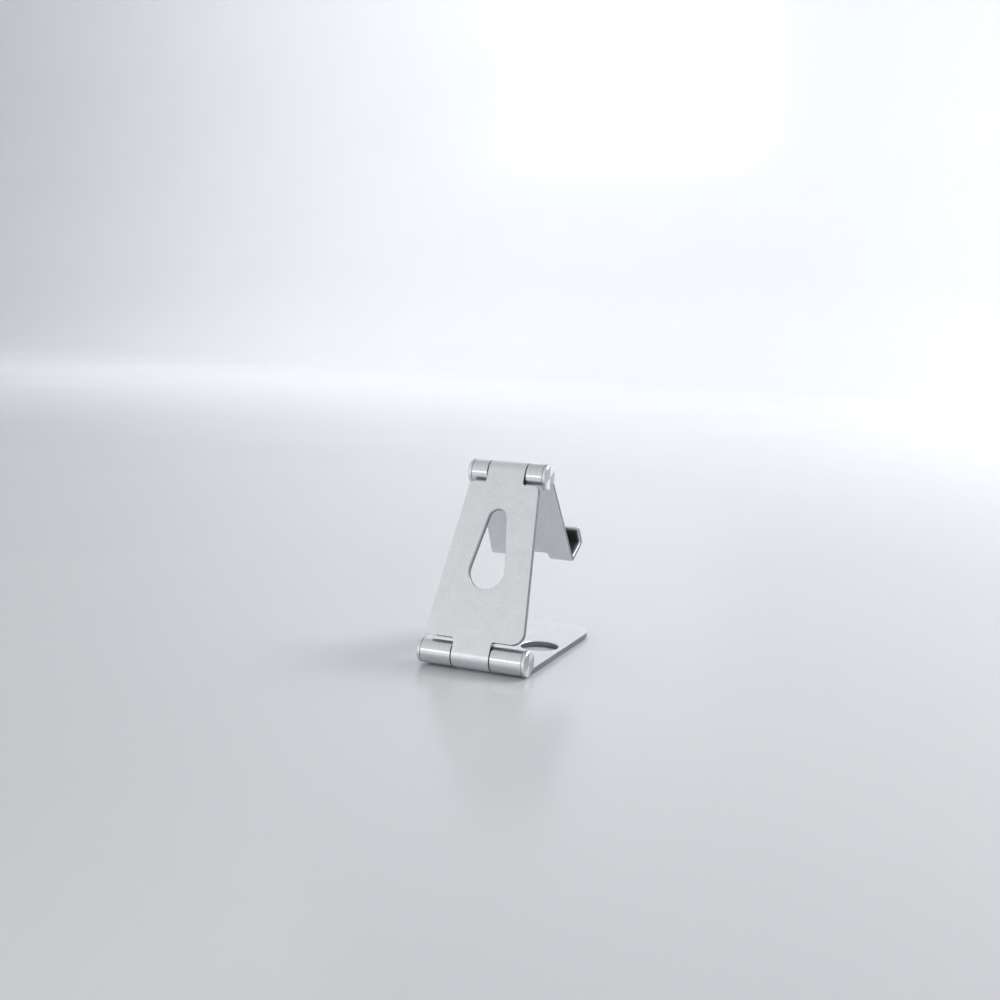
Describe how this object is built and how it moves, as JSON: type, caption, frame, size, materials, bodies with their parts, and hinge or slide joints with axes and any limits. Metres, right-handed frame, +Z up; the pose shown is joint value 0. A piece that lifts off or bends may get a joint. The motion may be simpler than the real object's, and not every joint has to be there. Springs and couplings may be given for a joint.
{
  "type": "phone stand",
  "caption": "Folding metal phone stand: base plate, support arm and hooked cradle joined by barrel friction hinges.",
  "frame": {"origin": "on the table, under the middle of the stand's box at rest", "axes": "+Z up, -Y to the front where the phone faces, +X along both hinge pins to the right of someone facing the phone"},
  "size_m": [0.071, 0.1274, 0.121],
  "materials": {
    "blasted_aluminium": "fine sand-blasted, clear anodised",
    "turned_aluminium": "turned face with a polished bevel",
    "steel": "zinc plated",
    "spring_steel": "oiled spring steel",
    "bush_plastic": "natural acetal",
    "washer_plastic": "black friction plastic",
    "silicone": "matte silicone"
  },
  "bodies": {
    "base": {"base_plate": "blasted_aluminium", "front_foot_pad": "silicone", "rear_foot_pad": "silicone", "lower_hinge_pin": "steel", "lower_friction_washers": "washer_plastic", "lower_thrust_washer": "steel", "lower_disc_springs": "spring_steel", "lower_lock_nut": "steel", "lower_left_cap": "turned_aluminium", "lower_right_cap": "turned_aluminium"},
    "arm": {"support_arm": "blasted_aluminium", "lower_bush": "bush_plastic", "upper_bush": "bush_plastic"},
    "cradle": {"cradle": "blasted_aluminium", "cradle_face_pad": "silicone", "left_hook_pad": "silicone", "right_hook_pad": "silicone", "upper_hinge_pin": "steel", "upper_friction_washers": "washer_plastic", "upper_thrust_washer": "steel", "upper_disc_springs": "spring_steel", "upper_lock_nut": "steel", "upper_left_cap": "turned_aluminium", "upper_right_cap": "turned_aluminium"}
  },
  "joints": [
    {"name": "arm_hinge", "type": "hinge", "parent": "base", "child": "arm", "pos_m": [0, 0.05575, 0.0088], "axis": [1, 0, 0], "range_deg": [-45, 26]},
    {"name": "cradle_hinge", "type": "hinge", "parent": "arm", "child": "cradle", "pos_m": [0, 0.00715, 0.11303], "axis": [1, 0, 0], "range_deg": [-125, 57]}
  ]
}
